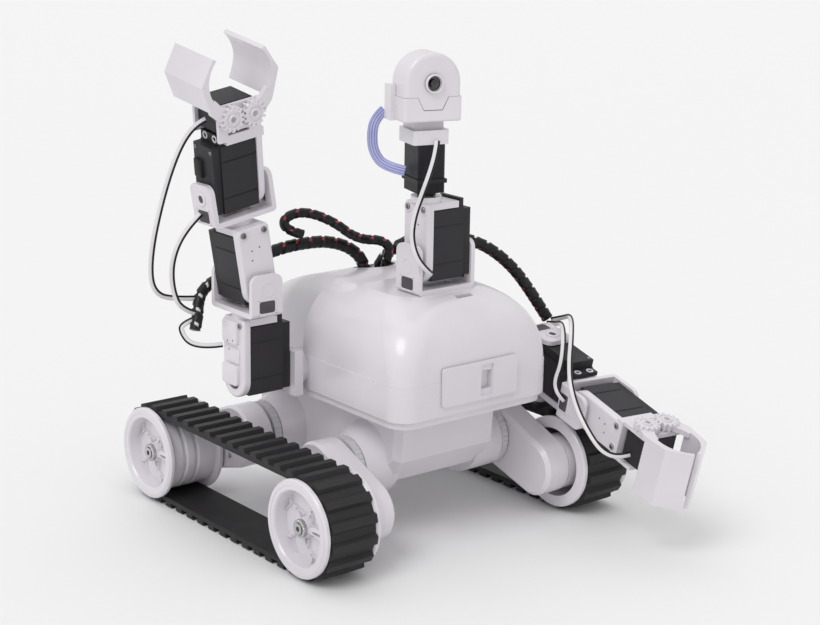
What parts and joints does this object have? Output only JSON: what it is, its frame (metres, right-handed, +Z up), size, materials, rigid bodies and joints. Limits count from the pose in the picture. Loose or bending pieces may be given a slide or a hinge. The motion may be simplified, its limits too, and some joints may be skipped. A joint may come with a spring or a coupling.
{
  "type": "tracked_robot",
  "caption": "White and black tracked robot with a domed body, servo arms with geared grippers, and a pan and tilt camera head, with loose black cable looms.",
  "frame": {"origin": "on the ground under the middle of the whole robot's box as it stands in the picture pose", "axes": "+Z up, the front with the latch and the camera faces -Y, the robot's own left side is +X"},
  "size_m": [0.2593, 0.3074, 0.2974],
  "materials": {
    "gloss_white": "gloss white moulded ABS",
    "servo_black": "fine matt black",
    "track_rubber": "matt black rubber",
    "ring_grey": "grey knurled nylon",
    "axle_steel": "plain steel",
    "screw_steel": "darkened steel screws",
    "board_green": "solder mask green",
    "lens_black": "black coated lens",
    "loom_black": "black spiral wrap",
    "lead_white": "white and black flat servo lead",
    "ribbon_blue": "blue violet ribbon"
  },
  "bodies": {
    "chassis": {"upper_shell": "gloss_white", "lower_hull": "gloss_white", "front_latch": "gloss_white", "controller_board": "board_green", "battery_pack": "servo_black", "front_right_leg": "gloss_white", "rear_right_leg": "gloss_white", "front_left_leg": "gloss_white", "rear_left_leg": "gloss_white", "clip_rings": "ring_grey", "wheel_axles": "axle_steel", "right_track": "track_rubber", "left_track": "track_rubber", "drive_motors": "axle_steel", "leg_screws": "screw_steel", "head_bracket": "gloss_white", "right_loom": "loom_black", "loom_loop": "loom_black", "left_loom": "loom_black"},
    "head_tilt": {"head_tilt_servo": "servo_black", "head_tilt_case": "gloss_white", "head_pan_lead": "lead_white"},
    "head_pan": {"head_pan_servo": "servo_black", "head_pan_clip": "gloss_white", "camera_upper_shell": "gloss_white", "camera_lower_shell": "gloss_white", "camera_lens": "lens_black", "camera_ribbon": "ribbon_blue"},
    "front_right_wheel_body": {"front_right_wheel": "gloss_white"},
    "front_left_wheel_body": {"front_left_wheel": "gloss_white"},
    "rear_right_wheel_body": {"rear_right_wheel": "gloss_white"},
    "rear_left_wheel_body": {"rear_left_wheel": "gloss_white"},
    "right_upper_arm": {"right_shoulder_servo": "servo_black", "right_shoulder_case": "gloss_white", "right_elbow_bracket": "gloss_white", "right_loom_end": "loom_black", "right_shoulder_lead": "lead_white"},
    "right_forearm": {"right_elbow_servo": "servo_black", "right_elbow_case": "gloss_white", "right_wrist_bracket": "gloss_white", "right_gripper_lead": "lead_white", "right_wrist_lead": "lead_white"},
    "right_hand": {"right_wrist_servo": "servo_black", "right_gripper_frame": "gloss_white", "right_gripper_servo": "servo_black"},
    "right_drive_claw": {"right_claw_drive": "gloss_white"},
    "right_idle_claw": {"right_claw_idle": "gloss_white"},
    "left_upper_arm": {"left_shoulder_servo": "servo_black", "left_shoulder_case": "gloss_white", "left_elbow_bracket": "gloss_white", "left_wrist_lead": "lead_white"},
    "left_forearm": {"left_elbow_servo": "servo_black", "left_elbow_case": "gloss_white", "left_wrist_bracket": "gloss_white", "left_gripper_lead": "lead_white"},
    "left_hand": {"left_wrist_servo": "servo_black", "left_gripper_frame": "gloss_white", "left_gripper_servo": "servo_black"},
    "left_drive_claw": {"left_claw_drive": "gloss_white"},
    "left_idle_claw": {"left_claw_idle": "gloss_white"}
  },
  "joints": [
    {"name": "front_right_wheel_spin", "type": "hinge", "parent": "chassis", "child": "front_right_wheel_body", "pos_m": [-0.08455, -0.03652, 0.03057], "axis": [1, 0, 0], "continuous": true},
    {"name": "rear_right_wheel_spin", "type": "hinge", "parent": "chassis", "child": "rear_right_wheel_body", "pos_m": [-0.08455, 0.12308, 0.03057], "axis": [1, 0, 0], "continuous": true},
    {"name": "front_left_wheel_spin", "type": "hinge", "parent": "chassis", "child": "front_left_wheel_body", "pos_m": [0.10865, -0.03652, 0.03057], "axis": [1, 0, 0], "continuous": true},
    {"name": "rear_left_wheel_spin", "type": "hinge", "parent": "chassis", "child": "rear_left_wheel_body", "pos_m": [0.10865, 0.12308, 0.03057], "axis": [1, 0, 0], "continuous": true},
    {"name": "right_shoulder", "type": "hinge", "parent": "chassis", "child": "right_upper_arm", "pos_m": [-0.07545, 0.04428, 0.0957], "axis": [1, 0, 0], "range_deg": [-30, 75], "deforming": ["right_loom"]},
    {"name": "right_elbow", "type": "hinge", "parent": "right_upper_arm", "child": "right_forearm", "pos_m": [-0.08145, 0.04428, 0.1522], "axis": [0, 1, 0], "range_deg": [-70, 12], "deforming": ["right_loom_end", "right_shoulder_lead"]},
    {"name": "right_wrist", "type": "hinge", "parent": "right_forearm", "child": "right_hand", "pos_m": [-0.09078, 0.04428, 0.20793], "axis": [0.9863, 0, 0.165], "range_deg": [-60, 60], "deforming": ["right_gripper_lead"]},
    {"name": "right_claw_turn", "type": "hinge", "parent": "right_hand", "child": "right_drive_claw", "pos_m": [-0.09162, 0.03695, 0.25691], "axis": [-0.0247, 0.9888, 0.1475], "range_deg": [-20, 8]},
    {"name": "right_idle_turn", "type": "hinge", "parent": "right_hand", "child": "right_idle_claw", "pos_m": [-0.10592, 0.03695, 0.25451], "axis": [-0.0247, 0.9888, 0.1475], "range_deg": [-8, 20]},
    {"name": "left_shoulder", "type": "hinge", "parent": "chassis", "child": "left_upper_arm", "pos_m": [0.09955, 0.04428, 0.0957], "axis": [1, 0, 0], "range_deg": [-55, 0.5], "deforming": ["left_loom"]},
    {"name": "left_elbow", "type": "hinge", "parent": "left_upper_arm", "child": "left_forearm", "pos_m": [0.10555, -0.01099, 0.08395], "axis": [0, -0.2079, 0.9781], "range_deg": [-12, 30], "deforming": ["left_wrist_lead"]},
    {"name": "left_wrist", "type": "hinge", "parent": "left_forearm", "child": "left_hand", "pos_m": [0.10013, -0.066, 0.07226], "axis": [-0.9954, 0.0938, 0.0199], "range_deg": [-35, 40], "deforming": ["left_gripper_lead"]},
    {"name": "left_claw_turn", "type": "hinge", "parent": "left_hand", "child": "left_drive_claw", "pos_m": [0.08822, -0.1127, 0.06085], "axis": [0.0028, 0.2367, -0.9716], "range_deg": [-1, 28]},
    {"name": "left_idle_turn", "type": "hinge", "parent": "left_hand", "child": "left_idle_claw", "pos_m": [0.10266, -0.11406, 0.06056], "axis": [0.0028, 0.2367, -0.9716], "range_deg": [-28, 1]},
    {"name": "head_tilt_hinge", "type": "hinge", "parent": "chassis", "child": "head_tilt", "pos_m": [0.01205, -0.01342, 0.1635], "axis": [1, 0, 0], "range_deg": [-20, 30]},
    {"name": "head_pan_turn", "type": "hinge", "parent": "head_tilt", "child": "head_pan", "pos_m": [0.00405, -0.01342, 0.2035], "axis": [0, 0, 1], "range_deg": [-75, 90], "deforming": ["head_pan_lead", "camera_ribbon"]}
  ],
  "couplings": [
    {"joint": "rear_right_wheel_spin", "follows": "front_right_wheel_spin", "ratio": 1},
    {"joint": "rear_left_wheel_spin", "follows": "front_left_wheel_spin", "ratio": 1},
    {"joint": "right_idle_turn", "follows": "right_claw_turn", "ratio": -1},
    {"joint": "left_idle_turn", "follows": "left_claw_turn", "ratio": -1}
  ]
}
